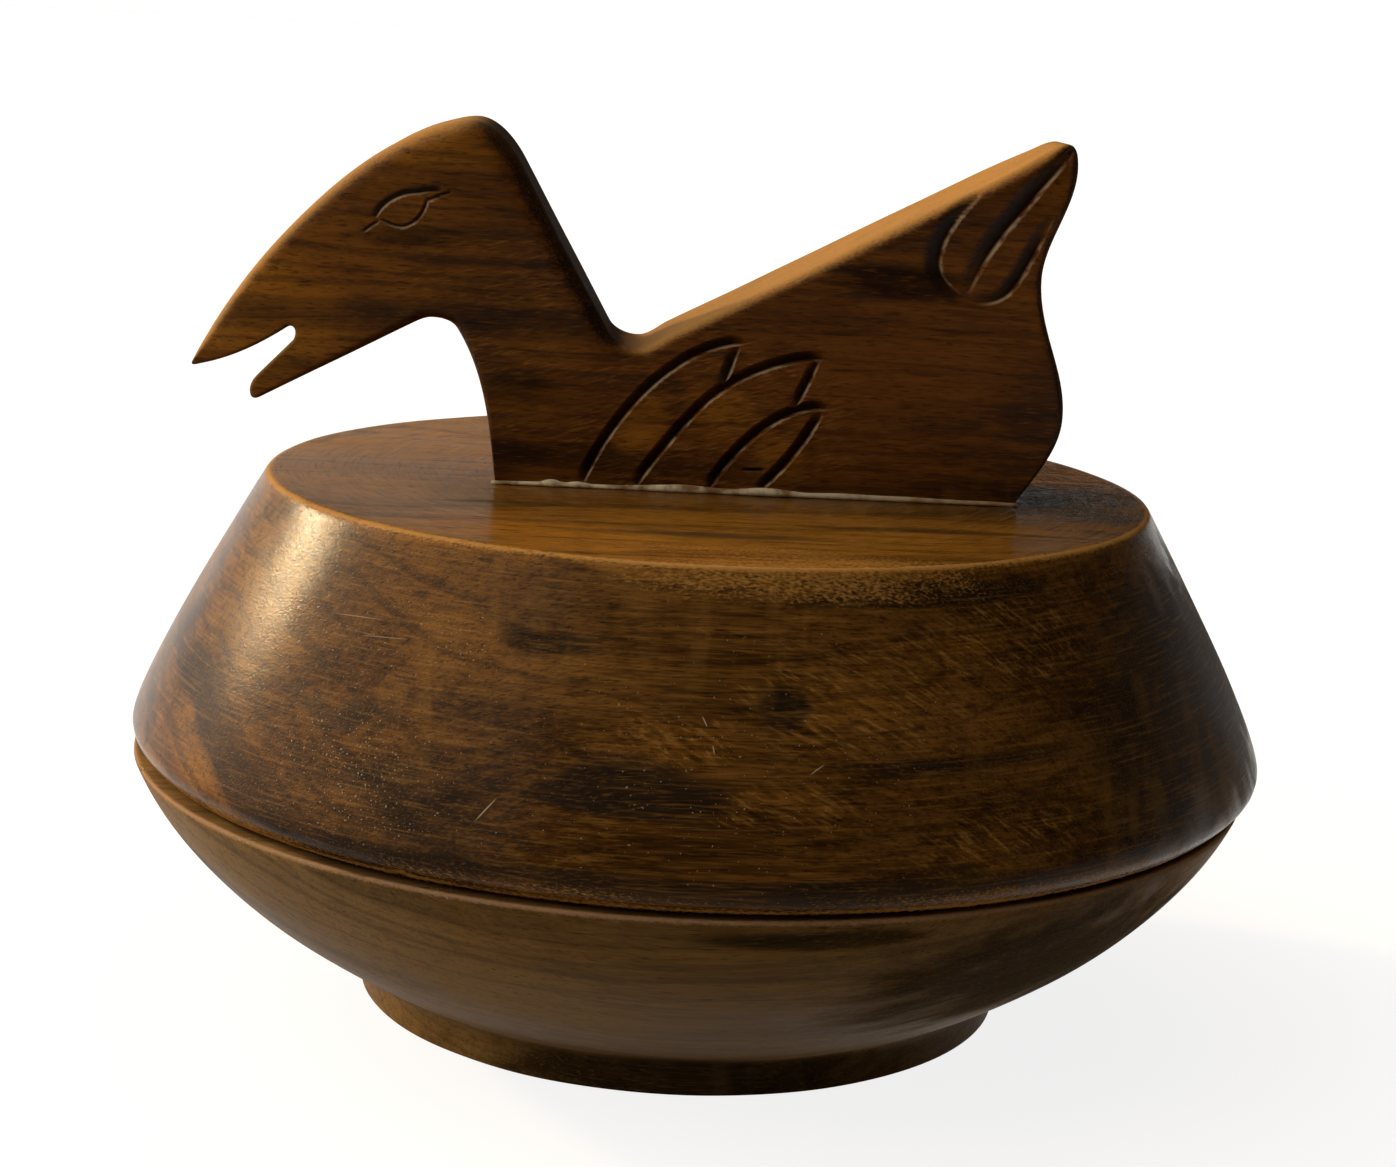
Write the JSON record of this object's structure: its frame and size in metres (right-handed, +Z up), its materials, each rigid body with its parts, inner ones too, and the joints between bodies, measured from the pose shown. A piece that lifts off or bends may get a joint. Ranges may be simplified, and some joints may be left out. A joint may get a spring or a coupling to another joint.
{
  "type": "lidded wooden bowl",
  "caption": "Low turned wooden bowl on a foot ring with a tall conical lid, whose handle is a flat carved bird with an open beak and raised tail.",
  "frame": {"origin": "on the bowl's turning axis, at the underside of its foot ring", "axes": "+X along the bird towards its tail, so the beak points to -X; +Y through the bird's flat side; +Z up along the turning axis"},
  "size_m": [0.25, 0.25, 0.1934],
  "materials": {
    "bowl_wood": "satin lacquered brown hardwood, turned",
    "lid_wood": "satin lacquered brown hardwood, turned, with golden streaks",
    "bird_wood": "satin lacquered brown hardwood, sawn, carved and rubbed at its edges",
    "dowel_wood": "plain straight-grained dowel, unfinished"
  },
  "bodies": {
    "bowl": {"bowl": "bowl_wood"},
    "lid": {"lid": "lid_wood", "bird_handle": "bird_wood", "dowel_front": "dowel_wood", "dowel_rear": "dowel_wood"}
  },
  "joints": [
    {"name": "lid_lift", "type": "slide", "parent": "bowl", "child": "lid", "axis": [0, 0, 1], "range_m": [0, 0.15]}
  ]
}
